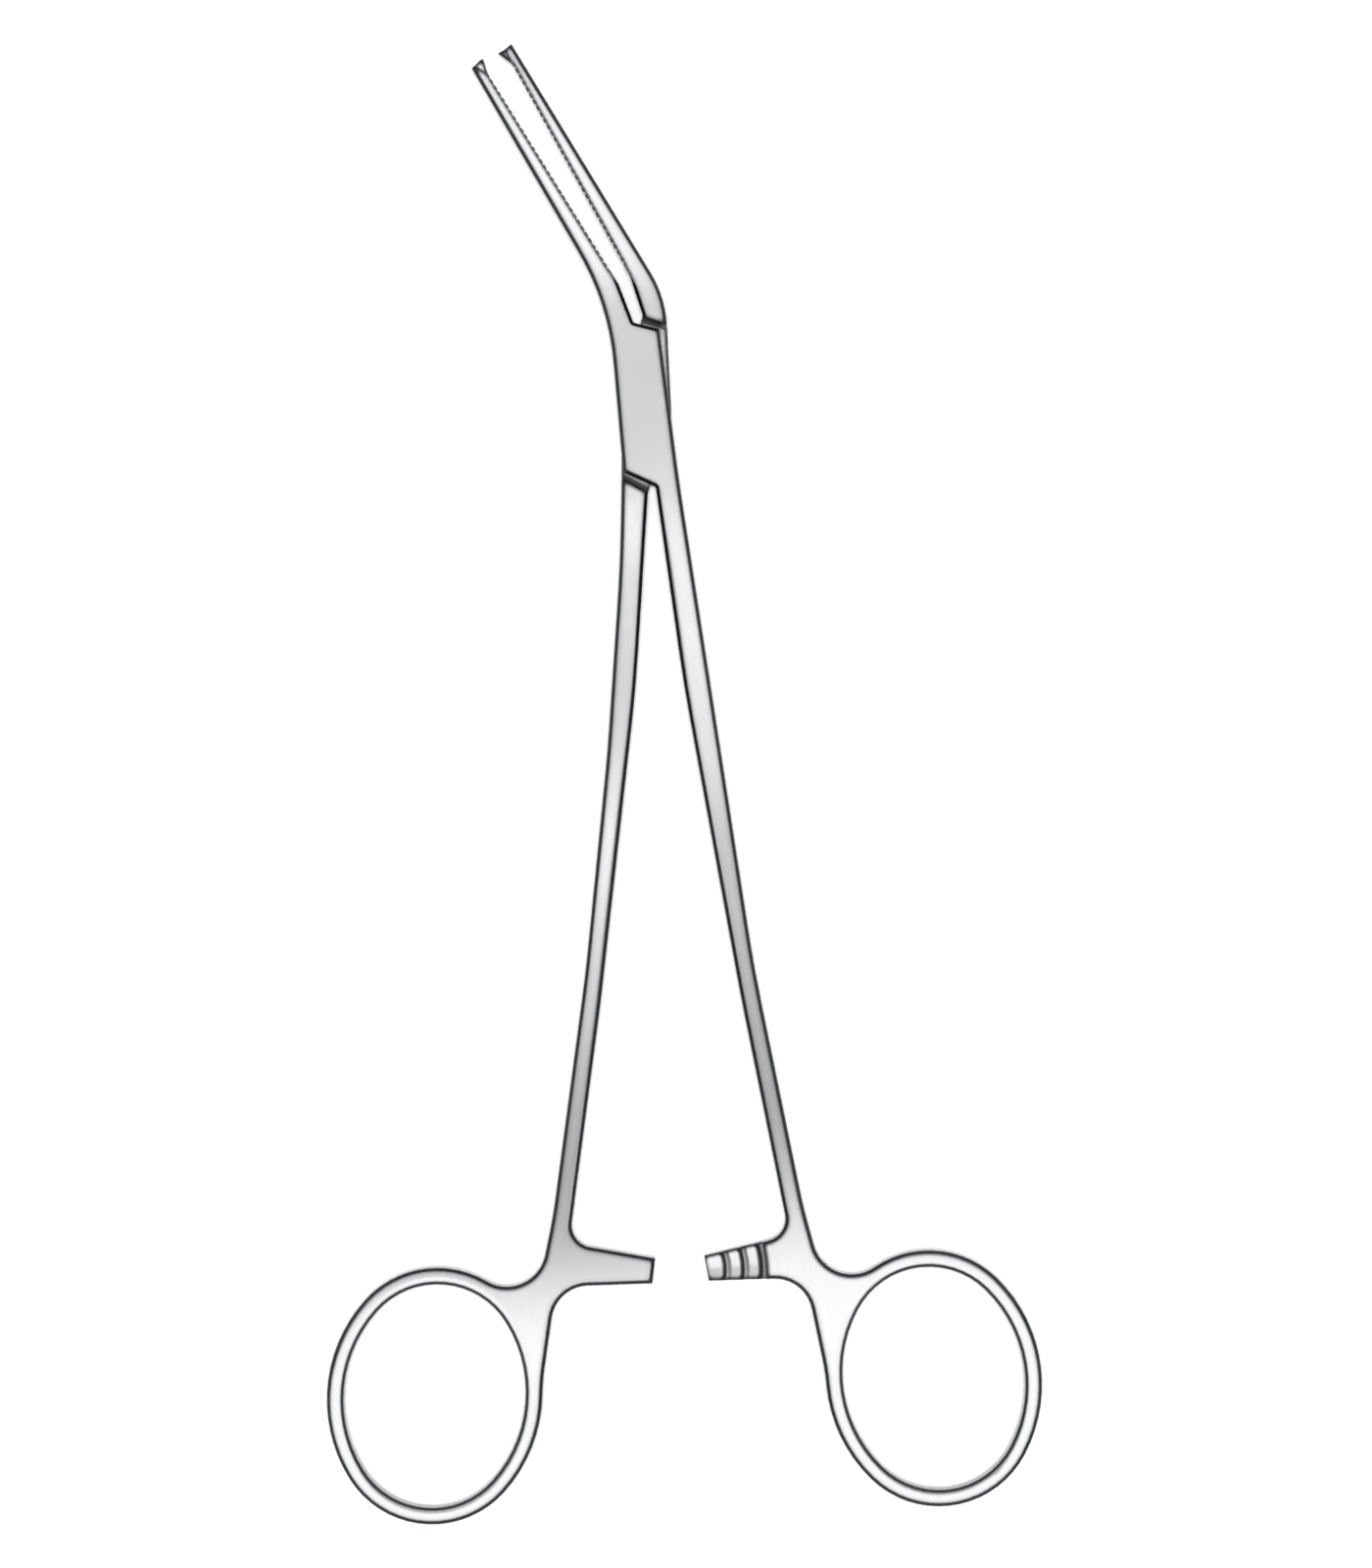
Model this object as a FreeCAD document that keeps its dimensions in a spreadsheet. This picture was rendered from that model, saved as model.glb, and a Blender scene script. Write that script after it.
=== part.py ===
import FreeCAD, Part
import math
import os
import re

import Sketcher

# Curved haemostatic forceps with a box lock, finger rings, a three-step ratchet
# and one-into-two teeth at the jaw tips, in millimetres.
# Each limb is drawn with the jaws shut, seen from the front, with the lock pin at
# the origin, the jaws towards +Y and the front towards +Z. It is then turned about
# the pin by half of the opening and lifted, so that the box lies flat on Z = 0.
# "out" is measured from the line midway between the two handles, away from it.
# "down" is measured from the pin towards the finger rings, "up" towards the tips.

SIZES = {
    "opening": (3.9, "angle between the limbs as the forceps lie, degrees"),
    "full_opening": (45, "angle at which the tongue meets the box, degrees"),
    "handle_axis": (0.8, "line midway between the handles, right of the pin"),
    "box_thick": (6.0, "box lock, front to back"),
    "flat_up": (15.5, "end of the box's even thickness, up"),
    "flat_down": (14.5, "end of the box's even thickness, down"),
    "box_left": (3.13, "left edge of the box from the pin"),
    "box_left_down": (8.4, "lower left corner of the cheeks, down"),
    "box_right_top": (2.6, "upper right corner of the cheeks from the pin"),
    "box_right_up": (9.1, "upper right corner of the cheeks, up"),
    "box_right_low": (3.74, "right edge of the box where the shank begins"),
    "box_right_down": (10.0, "start of the shank on the right edge, down"),
    "crotch_left": (0.6, "fork of jaw and cheeks, left of the pin"),
    "crotch_up": (10.15, "fork of jaw and cheeks, up"),
    "fork_right": (0.8, "fork of shank and cheeks, right of the pin"),
    "fork_down": (10.5, "fork of shank and cheeks, down"),
    "fork_round": (0.4, "rounding in the two forks"),
    "tongue_thick": (2.0, "tongue that passes through the box"),
    "slide_gap": (0.06, "play between tongue and cheek, each side"),
    "slot_gap": (0.12, "play between tongue and the slot's end walls"),
    "tongue_left": (2.75, "left edge of the tongue from the pin"),
    "tongue_right": (3.45, "right edge of the tongue from the pin"),
    "tongue_turn": (1.5, "where the tongue's edges turn inward, up or down"),
    "tongue_round": (3.0, "rounding of those turns"),
    "forging_spare": (0.6, "spare thickness of a blank over the box, each side"),
    "shoulder_gap": (0.15, "play between cheek edge and shoulder"),
    "shoulder_lean": (20, "lean of the shoulders away from the cheeks, degrees"),
    "pin_across": (2.6, "shank of the lock pin"),
    "pin_head": (3.6, "riveted head of the pin, flush with the cheek"),
    "pin_head_deep": (0.5, "depth of the cone under each head"),
    "pin_play": (0.04, "play between pin and tongue, all round"),
    "tip_up": (44.2, "tips of the jaws, up"),
    "tip_left": (17.45, "line between the shut jaws at the tips"),
    "bite_up": (20.0, "second point of that line, up"),
    "bite_left": (4.36, "second point of that line, left of the pin"),
    "bite_gap": (0.75, "gap between the shut jaws at the second point"),
    "tip_gap": (0.1, "gap between the shut jaws at the tips"),
    "box_jaw_root_up": (15.0, "bend at the root of the left jaw, up"),
    "box_jaw_back_left": (3.55, "bend of the left jaw's back, left of the pin"),
    "box_jaw_back_up": (12.7, "bend of the left jaw's back, up"),
    "box_jaw_back_round": (33.0, "radius of that bend"),
    "box_tip_back_left": (18.56, "back of the left jaw's tip, left of the pin"),
    "box_tip_back_up": (43.27, "back of the left jaw's tip, up"),
    "tongue_jaw_foot_left": (0.1, "foot of the right jaw, left of the pin"),
    "tongue_jaw_foot_up": (11.0, "foot of the right jaw, up"),
    "tongue_jaw_root_up": (15.9, "bend at the root of the right jaw, up"),
    "tongue_jaw_back_right": (2.72, "bend of the right jaw's back from the pin"),
    "tongue_jaw_back_up": (13.3, "bend of the right jaw's back, up"),
    "tongue_jaw_back_round": (14.0, "radius of that bend"),
    "tongue_tip_back_left": (16.5, "back of the right jaw's tip"),
    "tongue_tip_back_up": (44.95, "back of the right jaw's tip, up"),
    "jaw_tip_thick": (2.8, "jaw at the tip, front to back"),
    "tooth_long": (1.85, "length of the tip teeth along the jaw"),
    "tooth_high": (0.86, "height of the pair of teeth on the right jaw"),
    "mid_tooth_high": (0.45, "height of the single tooth on the left jaw"),
    "mid_tooth_wide": (0.8, "width of the single tooth"),
    "pair_wide": (2.3, "width over the pair of teeth"),
    "tooth_gap": (0.1, "play round the teeth when the jaws are shut"),
    "groove_pitch": (0.9, "spacing of the cross grooves in the jaws"),
    "groove_wide": (0.5, "width of one cross groove"),
    "groove_deep": (0.2, "depth of one cross groove"),
    "groove_start": (2.6, "first groove from the tip"),
    "groove_run": (28.0, "length of the grooved stretch"),
    "shank_in_top": (0.3, "inner edge of the shank at the box, out"),
    "shank_in_down": (11.2, "top of the tongue limb's inner edge, down"),
    "shank_in_upper": (1.8, "upper bend of the inner edge, out"),
    "shank_upper_down": (35.5, "upper bend of the inner edge, down"),
    "shank_in_lower": (6.25, "lower bend of the inner edge, out"),
    "shank_lower_down": (75.0, "lower bend of the inner edge, down"),
    "shank_bend": (200.0, "radius of the shank's gentle bends"),
    "shank_top_down": (9.3, "top of the tongue limb's outer edge, down"),
    "shank_out_upper": (3.75, "upper bend of the outer edge, out"),
    "shank_out_upper_down": (20.0, "upper bend of the outer edge, down"),
    "shank_out_middle": (5.35, "middle bend of the outer edge, out"),
    "shank_out_middle_down": (43.5, "middle bend of the outer edge, down"),
    "shank_out_waist": (8.1, "lower bend of the outer edge, out"),
    "shank_waist_down": (71.0, "lower bend of the outer edge, down"),
    "shank_out_end": (12.2, "outer edge where it flares to the ring, out"),
    "shank_end_down": (101.5, "start of that flare, down"),
    "shank_end_bend": (60.0, "radius at the start of the flare"),
    "shank_thick_top": (5.0, "shank below the box, front to back"),
    "shank_taper_down": (25.0, "where the box has run out into the shank, down"),
    "arm_inner": (10.2, "corner of shank and ratchet arm, out"),
    "arm_inner_down": (104.9, "corner of shank and ratchet arm, down"),
    "arm_inner_round": (2.8, "rounding of that corner"),
    "arm_past": (0.55, "reach of the arm past the middle line"),
    "arm_top_down": (106.75, "upper corner of the arm's end, down"),
    "arm_low_down": (109.9, "lower corner of the arm's end, down"),
    "arm_slant": (0.35, "slant of the arm's end"),
    "arm_foot": (11.83, "corner of arm and ring, out"),
    "arm_foot_down": (110.3, "corner of arm and ring, down"),
    "arm_foot_round": (4.7, "rounding of that corner"),
    "ratchet_first": (2.1, "first catch, out"),
    "ratchet_pitch": (2.25, "spacing of the catches"),
    "ratchet_high": (0.9, "height of a catch"),
    "ratchet_valley": (0.5, "floor behind the last catch"),
    "ratchet_round": (7.0, "radius of the first catch's curved face"),
    "ring_out": (27.0, "middle of the finger ring, out"),
    "ring_down": (123.95, "middle of the finger ring, down"),
    "ring_long": (27.8, "finger hole, long way"),
    "ring_wide": (22.6, "finger hole, short way"),
    "ring_band": (2.15, "band of the ring, hole to outside"),
    "ring_lean": (5.1, "lean of the ring towards the middle, degrees"),
    "ring_thick": (3.4, "ring and arms, front to back"),
    "ring_round": (1.0, "rounding of the finger hole's rims"),
    "ring_blend": (4.9, "valley between shank and ring"),
    "ring_foot_blend": (30.0, "valley between arm and ring"),
    "root_rise": (5.35, "end of the handle's outer edge over the ring's middle"),
    "foot_drop": (2.05, "end of the handle's inner edge under the ring's middle"),
    "foot_in_band": (0.5, "depth of that end in the ring's band"),
    "ring_start_down": (96.0, "where the even thickness begins, down"),
    "rim_bevel": (0.5, "bevel along the rims of a limb"),
    "bite_bevel": (0.2, "bevel along the jaws' gripping faces and tips"),
    "taper_bend": (110.0, "radius where one thickness runs into the next"),
}
CATCHES = 3
SAME_WAY = 0.99  # least cosine between directions that count as the same

doc = FreeCAD.newDocument("haemostatic_forceps")


def make_sheet():
    """Write every driving size into one spreadsheet, with its note."""
    sheet = doc.addObject("Spreadsheet::Sheet", "sizes")
    for row, (name, (value, note)) in enumerate(SIZES.items(), start=1):
        sheet.set(f"A{row}", name)
        sheet.set(f"B{row}", str(value))
        sheet.set(f"C{row}", note)
        sheet.setAlias(f"B{row}", name)
    doc.recompute()


def cells(text):
    """Turn the names of sizes in a formula into references to their cells."""
    return re.sub(r"[a-z_]+", lambda word: "sizes." + word[0] if word[0] in SIZES else word[0], text)


def new_sketch(body, name, role, shift_x="0", shift_y="0", lift="0", turn="0"):
    """Attach a sketch to one of the body's own origin planes."""
    sketch = body.newObject("Sketcher::SketchObject", name)
    plane = next(item for item in body.Origin.OriginFeatures if item.Role == role)
    sketch.AttachmentSupport = [(plane, "")]
    sketch.MapMode = "FlatFace"
    sketch.setExpression("AttachmentOffset.Base.x", cells(shift_x))
    sketch.setExpression("AttachmentOffset.Base.y", cells(shift_y))
    sketch.setExpression("AttachmentOffset.Base.z", cells(lift))
    sketch.setExpression("AttachmentOffset.Rotation.Angle", cells(turn))
    return sketch


def dimension(sketch, kind, first, second, formula):
    """Make one dimension at the size that its formula has now."""
    value = float(sketch.evalExpression(cells(formula)))
    return Sketcher.Constraint(kind, *first, *second, value), formula


def hold(sketch, constraints):
    """Add constraints all together and bind those that come with a formula."""
    start = sketch.ConstraintCount
    sketch.addConstraint([constraint for constraint, formula in constraints])
    for index, (constraint, formula) in enumerate(constraints, start=start):
        if formula:
            sketch.setExpression(f"Constraints[{index}]", cells(formula))


def outline(sketch, corners):
    """Draw a closed outline through corners (x, y, rounding), each a formula."""
    points = []
    rounds = []
    for across, along, rounding in corners:
        x = float(sketch.evalExpression(cells(across)))
        y = float(sketch.evalExpression(cells(along)))
        points.append(FreeCAD.Vector(x, y, 0))
        rounds.append(float(sketch.evalExpression(cells(rounding))) if rounding else 0)
    ends = []
    for index, point in enumerate(points):
        back = (points[index - 1] - point).normalize()
        ahead = (points[(index + 1) % len(points)] - point).normalize()
        half = back.getAngle(ahead) / 2
        reach = rounds[index] / math.tan(half)
        middle = (back + ahead).normalize() * (rounds[index] / math.sin(half) - rounds[index])
        ends.append((point + back * reach, point + middle, point + ahead * reach))
    lines = []
    for index in range(len(points)):
        line = Part.LineSegment(ends[index][2], ends[(index + 1) % len(points)][0])
        lines.append(sketch.addGeometry(line, False))
    constraints = []
    for index, (across, along, rounding) in enumerate(corners):
        before = lines[index - 1]
        after = lines[index]
        if rounding:
            first, middle, last = ends[index]
            leftward = (middle - first).cross(last - middle).z > 0
            near = 1 if leftward else 2
            arc = sketch.addGeometry(
                Part.Arc(first, middle, last) if leftward else Part.Arc(last, middle, first), False)
            held = sketch.addGeometry(Part.Point(points[index]), True)
            constraints.append((Sketcher.Constraint("Tangent", before, 2, arc, near), None))
            constraints.append((Sketcher.Constraint("Tangent", arc, 3 - near, after, 1), None))
            constraints.append((Sketcher.Constraint("PointOnObject", held, 1, before), None))
            constraints.append((Sketcher.Constraint("PointOnObject", held, 1, after), None))
            constraints.append(dimension(sketch, "Radius", (arc,), (), rounding))
        else:
            held = after
            constraints.append((Sketcher.Constraint("Coincident", before, 2, after, 1), None))
        constraints.append(dimension(sketch, "DistanceX", (-1, 1), (held, 1), across))
        constraints.append(dimension(sketch, "DistanceY", (-1, 1), (held, 1), along))
    hold(sketch, constraints)


def oval(sketch, band):
    """Draw the finger hole's oval, of four arcs that run into each other, widened by a band."""
    tall = f"(ring_long / 2 + {band})"
    wide = f"(ring_wide / 2 + {band})"
    end = "(3 * ring_wide / 4 - ring_long / 4 + " + band + ")"
    flank = f"(({wide}^2 + ({tall} - {end})^2 - {end}^2) / (2 * ({wide} - {end})))"
    across = f"{end} * ({flank} - {wide}) / ({flank} - {end})"
    along = f"({tall} - {end}) * {flank} / ({flank} - {end})"
    names = (across, along, tall, wide, end, flank)
    x, y, top, side, tip, bow = [float(sketch.evalExpression(cells(name))) for name in names]
    quarters = (
        ((x, y), (0, top), (-x, y), end),
        ((-x, y), (-side, 0), (-x, -y), flank),
        ((-x, -y), (0, -top), (x, -y), end),
        ((x, -y), (side, 0), (x, y), flank),
    )
    constraints = []
    for place, (start, middle, finish, radius) in enumerate(quarters):
        points = [FreeCAD.Vector(*point, 0) for point in (start, middle, finish)]
        arc = sketch.addGeometry(Part.Arc(*points), False)
        corner = (arc, 1)
        constraints.append((Sketcher.Constraint("Coincident", (place + 3) % 4, 2, *corner), None))
        constraints.append(dimension(sketch, "Radius", (arc,), (), radius))
        constraints.append(dimension(sketch, "DistanceX", (-1, 1), corner, f"{sign(start[0])} * {across}"))
        constraints.append(dimension(sketch, "DistanceY", (-1, 1), corner, f"{sign(start[1])} * {along}"))
    hold(sketch, constraints)


def sign(value):
    """Give 1 with the sign of a value."""
    return 1 if value > 0 else -1


def pad(body, name, sketch, thick):
    """Raise a sketch by half of a thickness to the front and to the back."""
    feature = body.newObject("PartDesign::Pad", name)
    feature.Profile = sketch
    feature.SideType = "Symmetric"
    feature.setExpression("Length", cells(thick))
    doc.recompute()


def pocket(body, name, sketch, depth, forward=None, lean="0"):
    """Cut a sketch into the body: to both sides of its plane, or only forward or back."""
    before = body.Shape.Volume
    feature = body.newObject("PartDesign::Pocket", name)
    feature.Profile = sketch
    feature.SideType = "Symmetric" if forward is None else "One side"
    feature.Reversed = bool(forward)
    feature.setExpression("Length", cells(depth))
    feature.setExpression("TaperAngle", cells(lean))
    doc.recompute()
    removes(body, name, before)
    return feature


def removes(body, name, before):
    """Stop where a cut points away from the solid and takes nothing off it."""
    if not body.Shape.Volume < before:
        raise RuntimeError(f"{name} removes nothing")


def round_edges(body, name, edges, radius):
    """Round edges of the body's newest shape, given by their names."""
    feature = body.newObject("PartDesign::Fillet", name)
    feature.Base = (feature.BaseFeature, edges)
    feature.setExpression("Radius", cells(radius))
    doc.recompute()


def bevel_rims(body, name, test, wide):
    """Bevel those rims of the body's newest shape for which a test holds."""
    edges = edges_of(body, lambda shape, edge: is_rim(shape, edge) and test(edge))
    feature = body.newObject("PartDesign::Chamfer", name)
    feature.Base = (feature.BaseFeature, edges)
    feature.setExpression("Size", cells(wide))
    doc.recompute()


def edges_of(body, test):
    """Name the edges of the body's shape for which the test holds."""
    shape = body.Shape
    return [f"Edge{number}" for number, edge in enumerate(shape.Edges, start=1) if test(shape, edge)]


def middle_of(edge):
    """Give the point halfway along an edge."""
    return edge.valueAt((edge.FirstParameter + edge.LastParameter) / 2)


def is_rim(shape, edge):
    """Tell whether an edge lies between a wall and the front or back."""
    point = middle_of(edge)
    faces = shape.ancestorsOfType(edge, Part.Face)
    upright = [abs(face.normalAt(*face.Surface.parameter(point)).z) for face in faces]
    return len(upright) == 2 and min(upright) < 1 - SAME_WAY and max(upright) > SAME_WAY


def is_valley(shape, edge):
    """Tell whether an upright edge lies where the straight shank meets the ring."""
    if abs(edge.tangentAt(edge.FirstParameter).z) < SAME_WAY:
        return False
    faces = shape.ancestorsOfType(edge, Part.Face)
    kinds = sorted(type(face.Surface).__name__ for face in faces)
    walls = [face.normalAt(*face.Surface.parameter(middle_of(edge))) for face in faces]
    return kinds == ["Cylinder", "Plane"] and walls[0].dot(walls[1]) < SAME_WAY


def size(name):
    """Give one driving size."""
    return SIZES[name][0]


def in_hole(shape, edge, side):
    """Tell whether an edge bounds a wall that faces the middle of the finger hole."""
    point = middle_of(edge)
    ring = FreeCAD.Vector(size("handle_axis") + side * size("ring_out"), -size("ring_down"), point.z)
    inward = ring - point
    faces = shape.ancestorsOfType(edge, Part.Face)
    turned = [face.normalAt(*face.Surface.parameter(point)).dot(inward) for face in faces]
    near = inward.Length < size("ring_long") / 2 + size("ring_band")
    return near and max(turned) > inward.Length / 2


def on_bite(edge):
    """Tell whether a rim bounds a gripping face or the end of a jaw."""
    point = middle_of(edge)
    near = FreeCAD.Vector(-size("bite_left"), size("bite_up"), point.z)
    tip = FreeCAD.Vector(-size("tip_left"), size("tip_up"), point.z)
    back = FreeCAD.Vector(-size("box_tip_back_left"), size("box_tip_back_up"), point.z)
    tip_width = back.distanceToLine(near, tip - near)
    past_end_middle = (tip_width / 2 + tip_width) / 2
    above_root = point.y > min(size("box_jaw_root_up"), size("tongue_jaw_root_up"))
    return above_root and point.distanceToLine(near, tip - near) < past_end_middle


def bite_face(side, up):
    """Write how far right of the pin a gripping face is at a height."""
    near = f"(bite_left + {side} * bite_gap / 2)"
    far = f"(tip_left + {side} * tip_gap / 2)"
    return f"-{near} + (bite_up - {up}) * ({far} - {near}) / (tip_up - bite_up)"


def handle_corners(side):
    """List corners of shank and ratchet arm, down the inner edge and up the outer one."""
    corners = [
        ("shank_in_upper", "-shank_upper_down", "shank_bend"),
        ("shank_in_lower", "-shank_lower_down", "shank_bend"),
        ("arm_inner", "-arm_inner_down", "arm_inner_round"),
        ("-arm_past", "-arm_top_down", None),
        ("arm_slant - arm_past", "-arm_low_down", None),
        ("arm_foot", "-arm_foot_down", "arm_foot_round"),
        ("ring_out - ring_wide / 2 - ring_band + foot_in_band", "-ring_down - foot_drop", None),
        ("ring_out - ring_wide / 2", "-ring_down + root_rise", None),
        ("shank_out_end", "-shank_end_down", "shank_end_bend"),
        ("shank_out_waist", "-shank_waist_down", "shank_bend"),
    ]
    return [(f"handle_axis + {side} * ({out})", up, rounding) for out, up, rounding in corners]


def side_profile(body):
    """Thin the blank to its side view, from the tips over the box to the ring."""
    sketch = new_sketch(body, body.Name + "_side", "YZ_Plane")
    for face in (1, -1):
        outline(sketch, [
            ("tip_up + tooth_long", f"{face} * box_thick", None),
            ("tip_up + tooth_long", f"{face} * jaw_tip_thick / 2", None),
            ("flat_up", f"{face} * box_thick / 2", "taper_bend"),
            ("-flat_down", f"{face} * box_thick / 2", "taper_bend"),
            ("-shank_taper_down", f"{face} * shank_thick_top / 2", "taper_bend"),
            ("-ring_start_down", f"{face} * ring_thick / 2", "taper_bend"),
            ("-ring_down - ring_long", f"{face} * ring_thick / 2", None),
            ("-ring_down - ring_long", f"{face} * box_thick", None),
        ])
    pocket(body, body.Name + "_taper", sketch, "4 * (ring_out + ring_wide)")


def ratchet(body, side):
    """Thin the ratchet arm to half and cut its catches, curved about an upright axis."""
    out = f"handle_axis + {side} * (ratchet_first - ratchet_round)"
    level = "(arm_top_down + arm_low_down) / 2"
    sketch = new_sketch(body, body.Name + "_catches", "XZ_Plane", out, "0", level)
    floor = "-ratchet_high / 2"
    steps = [
        ("ratchet_round - ratchet_first - 2 * arm_past - ratchet_pitch / 2", "ring_thick"),
        ("ratchet_round - ratchet_first - 2 * arm_past - ratchet_pitch / 2", floor),
        ("ratchet_round - ratchet_first - arm_past", floor),
    ]
    for catch in range(CATCHES):
        steps.append((f"ratchet_round + {catch} * ratchet_pitch", "ratchet_high / 2"))
        steps.append((f"ratchet_round + {catch} * ratchet_pitch", floor))
    behind = f"ratchet_round + {CATCHES - 1} * ratchet_pitch + ratchet_valley"
    steps += [(behind, floor), (behind, "ring_thick")]
    outline(sketch, [(f"{side} * ({across})", f"{side} * ({up})", None) for across, up in steps])
    before = body.Shape.Volume
    feature = body.newObject("PartDesign::Groove", body.Name + "_ratchet")
    feature.Profile = sketch
    feature.ReferenceAxis = (sketch, ["V_Axis"])
    feature.Angle = 360
    doc.recompute()
    removes(body, feature.Name, before)


def tip_sketch(body, name, side, lift="0"):
    """Place a sketch at a gripping face's tip: X runs down the face, Y to the right jaw."""
    fall = f"(tip_up - bite_up) / (tip_left - bite_left + {side} * (tip_gap - bite_gap) / 2)"
    tip = f"-tip_left - {side} * tip_gap / 2"
    return new_sketch(body, name, "XY_Plane", tip, "tip_up", lift, f"-atan({fall})")


def cross_grooves(body, side):
    """Cut the row of V grooves across a gripping face."""
    sketch = tip_sketch(body, body.Name + "_groove", side)
    outline(sketch, [
        ("groove_start - groove_wide", f"{side} * groove_deep", None),
        ("groove_start", f"-{side} * groove_deep", None),
        ("groove_start + groove_wide", f"{side} * groove_deep", None),
    ])
    first = pocket(body, body.Name + "_first_groove", sketch, "2 * box_thick")
    row = body.newObject("PartDesign::LinearPattern", body.Name + "_grooves")
    row.Originals = [first]
    row.Direction = (sketch, ["H_Axis"])
    row.Mode = "Spacing"
    row.setExpression("Offset", cells("groove_pitch"))
    row.setExpression("Occurrences", cells("floor(groove_run / groove_pitch) + 1"))
    body.Tip = row
    doc.recompute()


def forge(name, side, corners):
    """Make one limb's forging: blank, ring, side taper, finger hole, rims, ratchet."""
    body = doc.addObject("PartDesign::Body", name)
    body.Label = name
    plan = new_sketch(body, name + "_plan", "XY_Plane")
    outline(plan, corners)
    pad(body, name + "_blank", plan, "box_thick + 2 * forging_spare")
    place = ("XY_Plane", f"handle_axis + {side} * ring_out", "-ring_down", "0", f"{side} * ring_lean")
    ring = new_sketch(body, name + "_ring", *place)
    oval(ring, "ring_band")
    pad(body, name + "_ring_blank", ring, "box_thick + 2 * forging_spare")
    for label, pick, radius in (("_valley", max, "ring_blend"), ("_foot", min, "ring_foot_blend")):
        valleys = edges_of(body, is_valley)
        chosen = pick(valleys, key=lambda edge: side * middle_of(body.Shape.getElement(edge)).x)
        round_edges(body, name + label, [chosen], radius)
    side_profile(body)
    hole = new_sketch(body, name + "_hole", *place)
    oval(hole, "0")
    pocket(body, name + "_finger_hole", hole, "2 * box_thick")
    rims = edges_of(body, lambda shape, edge: is_rim(shape, edge) and in_hole(shape, edge, side))
    round_edges(body, name + "_hole_rims", rims, "ring_round")
    bevel_rims(body, name + "_rims", lambda edge: not on_bite(edge), "rim_bevel")
    bevel_rims(body, name + "_bite", on_bite, "bite_bevel")
    ratchet(body, side)
    return body


def pin_profile(body, name):
    """Draw half of the riveted pin: a straight shank with a cone at either end."""
    sketch = new_sketch(body, name, "XZ_Plane")
    half = "box_thick / 2"
    outline(sketch, [
        ("0", f"-{half}", None),
        ("pin_head / 2", f"-{half}", None),
        ("pin_across / 2", f"-{half} + pin_head_deep", None),
        ("pin_across / 2", f"{half} - pin_head_deep", None),
        ("pin_head / 2", half, None),
        ("0", half, None),
    ])
    return sketch


def make_box_limb():
    """Limb with the left jaw, the two cheeks of the box, the right shank and ring."""
    body = forge("box_limb", 1, [
        ("-box_left", "-box_left_down", None),
        ("fork_right", "-fork_down", "fork_round"),
    ] + handle_corners(1) + [
        ("box_right_low", "-box_right_down", "shank_bend"),
        ("box_right_top", "box_right_up", None),
        ("-crotch_left", "crotch_up", "fork_round"),
        (bite_face(1, "box_jaw_root_up"), "box_jaw_root_up", None),
        ("-tip_left - tip_gap / 2", "tip_up", None),
        ("-box_tip_back_left", "box_tip_back_up", None),
        ("-box_jaw_back_left", "box_jaw_back_up", "box_jaw_back_round"),
    ])
    edge = "(tongue_left + slot_gap)"
    lean = "((tongue_left - tongue_jaw_foot_left) / (tongue_jaw_foot_up - tongue_turn))"
    turned = "cos(full_opening)"
    stop_up = f"(({edge} * (1 - {turned}) - tongue_turn * {lean} * {turned})"
    stop_up += f" / (sin(full_opening) - {lean} * {turned}))"
    slot = new_sketch(body, "slot", "XY_Plane")
    outline(slot, [
        ("handle_axis - shank_in_top + slot_gap", "-shank_in_down", None),
        ("tongue_right + slot_gap", "-tongue_turn", None),
        ("2 * tongue_right", "-tongue_turn", None),
        ("2 * tongue_right", "tongue_jaw_foot_up", None),
        ("-tongue_jaw_foot_left - slot_gap", "tongue_jaw_foot_up", None),
        (f"-{edge} + {lean} * ({stop_up} - tongue_turn)", stop_up, None),
        ("-2 * box_left", f"({edge} - 2 * box_left * {turned}) / sin(full_opening)", None),
        ("-2 * box_left", "-shank_in_down", None),
    ])
    pocket(body, "box_slot", slot, "tongue_thick + 2 * slide_gap")
    bore = body.newObject("PartDesign::Groove", "pin_seat")
    bore.Profile = pin_profile(body, "pin_seat_profile")
    bore.ReferenceAxis = (bore.Profile[0], ["V_Axis"])
    bore.Angle = 360
    doc.recompute()
    tooth = tip_sketch(body, "single_tooth", 1)
    outline(tooth, [
        ("0", "mid_tooth_high", None),
        ("0", "-tooth_gap", None),
        ("tooth_long", "-tooth_gap", None),
        ("tooth_long", "0", None),
    ])
    pad(body, "single_tooth_pad", tooth, "mid_tooth_wide")
    for label, face in (("front", 1), ("back", -1)):
        notch = tip_sketch(body, f"{label}_notch", 1, f"{face} * mid_tooth_wide / 2")
        outline(notch, [
            ("-tooth_long", "tooth_high", None),
            ("-tooth_long", "-tooth_high - tooth_gap", None),
            ("0", "-tooth_high - tooth_gap", None),
            ("tooth_long + 2 * tooth_gap", "0", None),
            ("tooth_long + 2 * tooth_gap", "tooth_high", None),
        ])
        pocket(body, f"{label}_notch_cut", notch, "box_thick", forward=face > 0)
    cross_grooves(body, 1)
    return body


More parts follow.
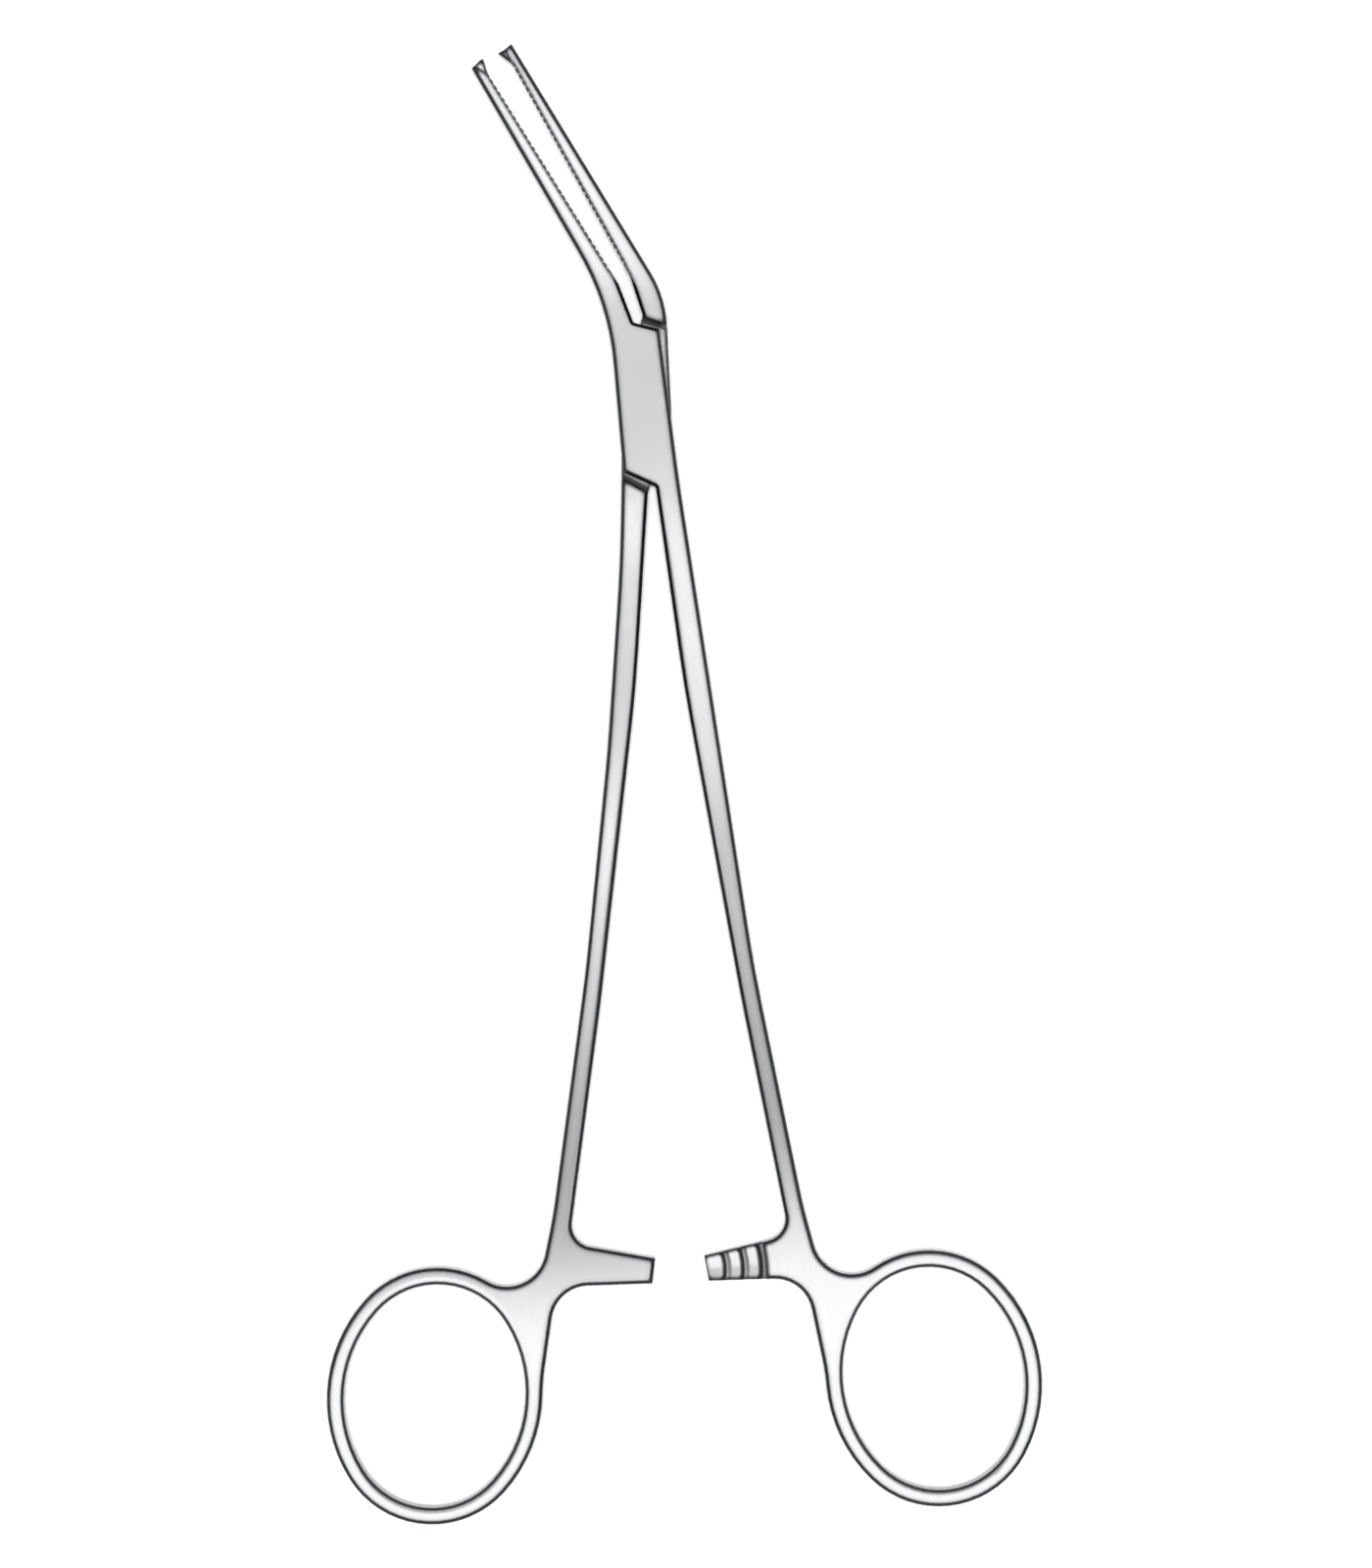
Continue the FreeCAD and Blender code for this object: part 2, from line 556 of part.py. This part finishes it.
def make_tongue_limb():
    """Limb with the right jaw, the tongue inside the box, the left shank and ring."""
    body = forge("tongue_limb", -1, [
        ("handle_axis - shank_in_top", "-shank_in_down", None),
    ] + handle_corners(-1) + [
        ("handle_axis - shank_out_middle", "-shank_out_middle_down", "shank_bend"),
        ("handle_axis - shank_out_upper", "-shank_out_upper_down", "shank_bend"),
        ("-tongue_left", "-shank_top_down", "shank_bend"),
        ("-tongue_left", "tongue_turn", "tongue_round"),
        ("-tongue_jaw_foot_left", "tongue_jaw_foot_up", None),
        (bite_face(-1, "tongue_jaw_root_up"), "tongue_jaw_root_up", None),
        ("-tip_left + tip_gap / 2", "tip_up", None),
        ("-tongue_tip_back_left", "tongue_tip_back_up", None),
        ("tongue_jaw_back_right", "tongue_jaw_back_up", "tongue_jaw_back_round"),
        ("tongue_right", "-tongue_turn", "tongue_round"),
    ])
    rise = "(crotch_up - box_right_up) / (box_right_top + crotch_left)"
    fall = "(fork_down - box_left_down) / (box_left + fork_right)"
    for label, face in (("front", 1), ("back", -1)):
        bed = new_sketch(body, f"{label}_bed", "XY_Plane", "0", "0", f"{face} * tongue_thick / 2")
        outline(bed, [
            ("-2 * box_left", f"-box_left_down - shoulder_gap + box_left * {fall}", None),
            ("2 * box_left", f"-box_left_down - shoulder_gap - 3 * box_left * {fall}", None),
            ("2 * box_left", f"box_right_up + shoulder_gap + (box_right_top - 2 * box_left) * {rise}", None),
            ("-2 * box_left", f"box_right_up + shoulder_gap + (box_right_top + 2 * box_left) * {rise}", None),
        ])
        pocket(body, f"{label}_bed_cut", bed, "box_thick", forward=face > 0, lean="shoulder_lean")
    bore = new_sketch(body, "tongue_bore", "XY_Plane")
    across = "pin_across + 2 * pin_play"
    circle = Part.Circle(FreeCAD.Vector(0, 0, 0), FreeCAD.Vector(0, 0, 1), size("pin_across"))
    bore.addGeometry(circle, False)
    hold(bore, [
        (Sketcher.Constraint("Coincident", 0, 3, -1, 1), None),
        dimension(bore, "Diameter", (0,), (), across),
    ])
    pocket(body, "tongue_bore_cut", bore, "2 * box_thick")
    pair = tip_sketch(body, "tooth_pair", -1)
    outline(pair, [
        ("0", "-tooth_high", None),
        ("0", "tooth_gap", None),
        ("tooth_long", "tooth_gap", None),
        ("tooth_long", "0", None),
    ])
    pad(body, "tooth_pair_pad", pair, "pair_wide")
    notch = tip_sketch(body, "middle_notch", -1)
    outline(notch, [
        ("-tooth_long", "-2 * tooth_high", None),
        ("-tooth_long", "mid_tooth_high", None),
        ("0", "mid_tooth_high", None),
        ("tooth_long + 2 * tooth_gap", "0", None),
        ("tooth_long + 2 * tooth_gap", "-2 * tooth_high", None),
    ])
    pocket(body, "middle_notch_cut", notch, "mid_tooth_wide + 2 * tooth_gap")
    cross_grooves(body, -1)
    return body


def make_lock_pin():
    """Pin of the box lock, riveted into both cheeks and ground flush with them."""
    body = doc.addObject("PartDesign::Body", "lock_pin")
    body.Label = "lock_pin"
    feature = body.newObject("PartDesign::Revolution", "riveted_pin")
    feature.Profile = pin_profile(body, "pin_half")
    feature.ReferenceAxis = (feature.Profile[0], ["V_Axis"])
    feature.Angle = 360
    doc.recompute()
    return body


make_sheet()
box_limb = make_box_limb()
tongue_limb = make_tongue_limb()
lock_pin = make_lock_pin()
for limb, turn in ((box_limb, "opening / 2"), (tongue_limb, "-opening / 2"), (lock_pin, "0")):
    limb.setExpression("Placement.Base.z", cells("box_thick / 2"))
    limb.setExpression("Placement.Rotation.Angle", cells(turn))
doc.recompute()

for item in doc.Objects:
    if "Invalid" in item.State or "Error" in item.State:
        raise RuntimeError(f"{item.Name} failed: {item.State}")
os.makedirs("parts", exist_ok=True)
for limb in (box_limb, tongue_limb, lock_pin):
    if limb.Shape.isNull() or not limb.Shape.isValid():
        raise RuntimeError(f"{limb.Label} has no valid shape")
    print(limb.Label, len(limb.Shape.Solids), "solid", round(limb.Shape.Volume, 2), "mm3")
    limb.Shape.exportStep(f"parts/{limb.Label}.step")
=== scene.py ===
import math

import bpy
from mathutils import Matrix, Vector


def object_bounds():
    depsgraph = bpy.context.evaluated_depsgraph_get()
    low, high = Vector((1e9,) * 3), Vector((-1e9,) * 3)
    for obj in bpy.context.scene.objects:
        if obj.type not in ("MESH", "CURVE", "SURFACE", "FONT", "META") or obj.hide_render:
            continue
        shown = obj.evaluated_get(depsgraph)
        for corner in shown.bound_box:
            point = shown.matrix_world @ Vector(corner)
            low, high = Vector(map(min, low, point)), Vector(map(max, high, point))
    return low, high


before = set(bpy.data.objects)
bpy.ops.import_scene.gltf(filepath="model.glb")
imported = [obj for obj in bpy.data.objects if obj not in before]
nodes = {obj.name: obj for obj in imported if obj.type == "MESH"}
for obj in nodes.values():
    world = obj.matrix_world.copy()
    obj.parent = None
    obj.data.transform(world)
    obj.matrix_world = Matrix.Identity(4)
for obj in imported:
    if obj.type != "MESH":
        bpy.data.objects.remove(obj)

cad_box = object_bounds()


# Limbs
# Two drop forgings in stainless steel, one passed through the other at the box lock.
# The flats are ground along the limb with fine belts and satin finished. The rims,
# sharp edges and side walls are painted darker, as painted shade.

MM = 0.001

# The ground flats: the belt's fine lines, and faint clouds where it pressed harder.
GROUND_FLAT = ("E2E4E6", "ECEDEE")
GRAIN_WIDE = 0.125 * MM
GRAIN_LONG = 4 * MM
GRAIN_DEEP = 0.02 * MM
CLOUD = 11 * MM
ROUGHNESS = (0.17, 0.25)

# All edges are eased, apart from the seat of the flush pin.
EDGE_ROUND = 0.4 * MM
PIN_SEAT = 2.3 * MM

# Painted shade on rims and walls: each lean is in degrees from level, where the shade
# starts and where it is full. A sharp edge, with only a share of steel behind it, is painted dark too.
PAINTED_RIM_SHADE = "2E3032"
PAINTED_WALL_SHADE = "A2A5A8"
RIM_LEAN = (21.5, 37)
WALL_LEAN = (53, 84)
DARK_EDGE_REACH = 0.7 * MM
STEEL_BEHIND_EDGE = (0.7, 0.93)

# Painted shade in the lock and behind the catches, where the share of open air is small;
# there the steel is painted darker and less metallic.
PAINTED_HOLLOW_SHADE = "626365"
HOLLOW_SHADE_METALLIC = 0.2
HOLLOW_SHADE_REACH = 2 * MM
AIR_OVER_HOLLOW_SHADE = (0.2, 0.65)


def linear(code):
    """Turn an sRGB colour such as C8CACC into linear red, green, blue and alpha."""
    parts = [int(code[place:place + 2], 16) / 255 for place in (0, 2, 4)]
    return [((part + 0.055) / 1.055) ** 2.4 if part > 0.04045 else part / 12.92 for part in parts] + [1]


def add(tree, kind, inputs=(), **settings):
    """Add a node with its settings, and set or link its inputs, in order or by name."""
    node = tree.nodes.new(kind)
    for name, value in settings.items():
        setattr(node, name, value)
    for name, value in inputs.items() if isinstance(inputs, dict) else enumerate(inputs):
        if isinstance(value, bpy.types.NodeSocket):
            tree.links.new(value, node.inputs[name])
        else:
            node.inputs[name].default_value = value
    return node


def forceps_steel(name, marks):
    """Make stainless steel, with finishing marks laid out by the function given, and painted shade on
    its rims, walls and hollows.
    """
    material = bpy.data.materials.new(name)
    material.use_nodes = True
    tree = material.node_tree
    place = add(tree, "ShaderNodeTexCoord").outputs["Object"]

    # Finishing marks and clouds.
    grain = add(tree, "ShaderNodeTexNoise", {
        "Vector": marks(tree, place), "Scale": 1, "Detail": 3}).outputs[0]
    cloud = add(tree, "ShaderNodeTexNoise", {
        "Vector": place, "Scale": 1 / CLOUD, "Detail": 3}).outputs[0]

    # Eased edges.
    level = add(tree, "ShaderNodeVectorMath", [place, (1, 1, 0)], operation="MULTIPLY")
    reach = add(tree, "ShaderNodeVectorMath", [level.outputs[0]], operation="LENGTH").outputs["Value"]
    off_pin = add(tree, "ShaderNodeMapRange", [
        reach, PIN_SEAT, PIN_SEAT + EDGE_ROUND, 0, 1]).outputs[0]
    sharp_normal = add(tree, "ShaderNodeNewGeometry").outputs["Normal"]
    eased_normal = add(tree, "ShaderNodeBevel", {"Radius": EDGE_ROUND}, samples=6).outputs[0]
    normal = add(tree, "ShaderNodeMix", {
        "Factor": off_pin, "A": sharp_normal, "B": eased_normal}, data_type="VECTOR").outputs["Result"]
    bump = add(tree, "ShaderNodeBump", {
        "Height": grain, "Normal": normal, "Strength": 0.15, "Distance": GRAIN_DEEP})

    # Painted shade where the surface leans away from level, and along sharp edges.
    lean = add(tree, "ShaderNodeSeparateXYZ", {"Vector": normal}).outputs["Z"]
    upright = add(tree, "ShaderNodeMath", [lean], operation="ABSOLUTE").outputs[0]
    start, full = [math.cos(math.radians(angle)) for angle in RIM_LEAN]
    slope = add(tree, "ShaderNodeMapRange", [upright, full, start, 1, 0]).outputs[0]
    behind = add(tree, "ShaderNodeAmbientOcclusion", {"Distance": DARK_EDGE_REACH}, samples=8, inside=True)
    edge = add(tree, "ShaderNodeMapRange", [
        behind.outputs["AO"], *STEEL_BEHIND_EDGE, 1, 0]).outputs[0]
    edge = add(tree, "ShaderNodeMath", [edge, off_pin], operation="MULTIPLY").outputs[0]
    rim_shade = add(tree, "ShaderNodeMath", [slope, edge], operation="MAXIMUM").outputs[0]
    start, full = [math.cos(math.radians(angle)) for angle in WALL_LEAN]
    wall = add(tree, "ShaderNodeMapRange", [upright, full, start, 1, 0]).outputs[0]

    # Painted shade in hollows, which also makes the steel less metallic there.
    around = add(tree, "ShaderNodeAmbientOcclusion", {"Distance": HOLLOW_SHADE_REACH}, samples=8)
    hollow_shade = add(tree, "ShaderNodeMapRange", [
        around.outputs["AO"], *AIR_OVER_HOLLOW_SHADE, 1, 0]).outputs[0]
    metallic = add(tree, "ShaderNodeMapRange", [hollow_shade, 0, 1, 1, HOLLOW_SHADE_METALLIC])

    # The colours, one over the other.
    ground = add(tree, "ShaderNodeMix", {
        "Factor": cloud, "A": linear(GROUND_FLAT[0]), "B": linear(GROUND_FLAT[1])}, data_type="RGBA")
    # Painted shade: a near-black colour for rims and sharp edges, a grey one for walls.
    rim_and_wall_shade = add(tree, "ShaderNodeMix", {
        "Factor": wall, "A": linear(PAINTED_RIM_SHADE), "B": linear(PAINTED_WALL_SHADE)}, data_type="RGBA")
    with_rim_shade = add(tree, "ShaderNodeMix", {
        "Factor": rim_shade, "A": ground.outputs["Result"], "B": rim_and_wall_shade.outputs["Result"]}, data_type="RGBA")
    # Painted shade in hollows, laid over the rest.
    colour = add(tree, "ShaderNodeMix", {
        "Factor": hollow_shade, "A": with_rim_shade.outputs["Result"], "B": linear(PAINTED_HOLLOW_SHADE)}, data_type="RGBA")
    roughness = add(tree, "ShaderNodeMapRange", [grain, 0.3, 0.7, *ROUGHNESS])
    shader = tree.nodes["Principled BSDF"]
    tree.links.new(colour.outputs["Result"], shader.inputs["Base Color"])
    tree.links.new(metallic.outputs[0], shader.inputs["Metallic"])
    tree.links.new(roughness.outputs[0], shader.inputs["Roughness"])
    tree.links.new(bump.outputs[0], shader.inputs["Normal"])
    return material


def lengthwise(tree, place):
    """Lay the marks of the belt along the limb."""
    scale = (1 / GRAIN_WIDE, 1 / GRAIN_LONG, 1 / GRAIN_WIDE)
    return add(tree, "ShaderNodeMapping", {"Vector": place, "Scale": scale}).outputs[0]


# Satin ground stainless steel gives pale flats with soft bands of light along them
# and fine lines lengthwise; its thin dark rims, grey walls and dark hollows are painted
# shade. Real lines are 0.03 mm apart, too fine to show, so they are drawn 0.125 mm apart.
ground_steel = forceps_steel("satin_ground_stainless_steel", lengthwise)
for name in ("box_limb", "tongue_limb"):
    nodes[name].data.materials.clear()
    nodes[name].data.materials.append(ground_steel)


# Lock pin
# A rivet turned from stainless steel. It is peened into both cheeks of the box lock
# and ground flush with them.

TURNED_RING = 0.11 * MM


def ringwise(tree, place):
    """Lay the marks of the lathe round the pin's axis."""
    level = add(tree, "ShaderNodeVectorMath", [place, (1, 1, 0)], operation="MULTIPLY")
    radius = add(tree, "ShaderNodeVectorMath", [level.outputs[0]], operation="LENGTH").outputs["Value"]
    line = add(tree, "ShaderNodeCombineXYZ", {"X": radius}).outputs[0]
    return add(tree, "ShaderNodeMapping", {
        "Vector": line, "Scale": (1 / TURNED_RING, 1, 1)}).outputs[0]


# Turned stainless steel is as pale as the cheeks, so that the head shows only by its
# rings. These are drawn 0.11 mm apart, where real ones are too fine to show.
turned_steel = forceps_steel("turned_stainless_steel", ringwise)
nodes["lock_pin"].data.materials.clear()
nodes["lock_pin"].data.materials.append(turned_steel)


# Camera
# A long lens straight above the forceps, turned two degrees so that they stand
# upright in the picture. The picture is 196 mm tall at the forceps.

PICTURE_TALL = 196 * MM
TURNED = math.radians(1.99)
LENS = 300
FILM = 36

middle = Vector((3.63, -47.66, 3)) * MM
upward = Vector((math.sin(TURNED), math.cos(TURNED), 0))
backward = Vector((0, 0, 1))
camera_data = bpy.data.cameras.new("camera")
camera_data.lens = LENS
camera_data.sensor_fit = "VERTICAL"
camera_data.sensor_height = FILM
camera_data.sensor_width = FILM
camera = bpy.data.objects.new("camera", camera_data)
turn = Matrix((upward.cross(backward), upward, backward)).transposed().to_4x4()
distance = PICTURE_TALL * LENS / FILM
camera.matrix_world = Matrix.Translation(middle + backward * distance) @ turn
scene = bpy.context.scene
scene.collection.objects.link(camera)
scene.camera = camera
scene.view_settings.view_transform = "Standard"


# Floor
# White uncoated paper under the forceps, wide enough to fill every view. It keeps
# their soft shadow.

FLOOR_WIDE = 6
FLOOR_GAP = 0.05 * MM

bpy.ops.mesh.primitive_plane_add(size=FLOOR_WIDE)
floor = bpy.context.object
floor.name = "floor"
floor.location.z = cad_box[0][2] - FLOOR_GAP

# Uncoated paper gives an even white with almost no gloss.
paper = bpy.data.materials.new("uncoated_white_paper")
paper.use_nodes = True
fibres = paper.node_tree.nodes["Principled BSDF"]
fibres.inputs["Base Color"].default_value = linear("FAFAFA")
fibres.inputs["Roughness"].default_value = 0.9
fibres.inputs["Specular IOR Level"].default_value = 0.1
floor.data.materials.append(paper)


# Light
# A soft lamp straight above, which the steel doesn't mirror, in a white studio. The
# camera and the steel see the studio as white, and it lights the rest more weakly.

STUDIO_SEEN = "FFFFFF"
STUDIO_LIGHT = "898989"
LAMP_SPREAD = math.radians(8)
LAMP_ENERGY = 2.9

studio = bpy.data.worlds.new("studio")
scene.world = studio
studio.use_nodes = True
tree = studio.node_tree
ray = add(tree, "ShaderNodeLightPath").outputs
seen = add(tree, "ShaderNodeMath", [ray["Is Camera Ray"], ray["Is Glossy Ray"]], operation="ADD")
seen = add(tree, "ShaderNodeMath", [
    seen.outputs[0], ray["Is Transmission Ray"]], operation="ADD", use_clamp=True)
shown = add(tree, "ShaderNodeMix", {
    "Factor": seen.outputs[0], "A": linear(STUDIO_LIGHT), "B": linear(STUDIO_SEEN)}, data_type="RGBA")
tree.links.new(shown.outputs["Result"], tree.nodes["Background"].inputs["Color"])
tree.nodes["Background"].inputs["Strength"].default_value = 1

lamp = bpy.data.lights.new("overhead", "SUN")
lamp.angle = LAMP_SPREAD
lamp.energy = LAMP_ENERGY
overhead = bpy.data.objects.new("overhead", lamp)
scene.collection.objects.link(overhead)
overhead.visible_glossy = False


# Reflector card
# A card close above the forceps, painted in soft bands from white to grey. Only the
# steel sees it: the flats mirror its bands along their length.

CARD_WIDE = 600 * MM
CARD_UP = 60 * MM
BANDS_LOW = -150
BANDS_HIGH = 60
LEFT_END = -2 * MM
RIGHT_START = 4 * MM
CARD_LIGHT = 1.25

# Each band is given as millimetres up from the pin and a colour, on the left of the
# card over the left shank, and on the right of it over the right shank.
LEFT_BANDS = (
    (-117, "FEFEFE"), (-105, "AAAAAA"), (-97, "A7A7A7"), (-72, "D6D6D6"), (-57, "FAFAFA"),
    (-37, "CBCBCB"), (-29, "CBCBCB"), (-19, "FFFFFF"), (-12, "F7F7F7"), (-8, "D0D0D0"),
    (14, "CFCFCF"), (25, "FAFAFA"), (50, "FDFDFD"))
RIGHT_BANDS = (
    (-125, "FEFEFE"), (-110, "FDFDFD"), (-102, "D3D3D3"), (-95, "A7A7A7"), (-58, "C0C0C0"),
    (-45, "E3E3E3"), (-27, "FAFAFA"), (-14, "E0E0E0"), (-8, "D6D6D6"), (13, "C8C8C8"),
    (30, "EAEAEA"), (50, "FAFAFA"))

bpy.ops.mesh.primitive_plane_add(size=CARD_WIDE)
card = bpy.context.object
card.name = "reflector_card"
card.location = (middle.x, middle.y, CARD_UP)
card.visible_camera = False
card.visible_diffuse = False
card.visible_shadow = False

# Painted card, lit from behind, gives its colours as they are painted.
painted = bpy.data.materials.new("painted_card")
painted.use_nodes = True
tree = painted.node_tree
tree.nodes.clear()
spot = add(tree, "ShaderNodeNewGeometry").outputs["Position"]
spot = add(tree, "ShaderNodeSeparateXYZ", {"Vector": spot}).outputs
along = add(tree, "ShaderNodeMapRange", [
    spot["Y"], BANDS_LOW * MM, BANDS_HIGH * MM, 0, 1]).outputs[0]
across = add(tree, "ShaderNodeMapRange", [spot["X"], LEFT_END, RIGHT_START, 0, 1]).outputs[0]
sides = []
for bands in (LEFT_BANDS, RIGHT_BANDS):
    grade = add(tree, "ShaderNodeValToRGB", {"Fac": along})
    grade.color_ramp.interpolation = "EASE"
    while len(grade.color_ramp.elements) < len(bands):
        grade.color_ramp.elements.new(0.5)
    for element, (up, colour) in zip(grade.color_ramp.elements, bands):
        element.position = (up - BANDS_LOW) / (BANDS_HIGH - BANDS_LOW)
        element.color = linear(colour)
    sides.append(grade.outputs[0])
both = add(tree, "ShaderNodeMix", {"Factor": across, "A": sides[0], "B": sides[1]}, data_type="RGBA")
glow = add(tree, "ShaderNodeEmission", {"Color": both.outputs["Result"], "Strength": CARD_LIGHT})
add(tree, "ShaderNodeOutputMaterial", {"Surface": glow.outputs[0]})
card.data.materials.append(painted)
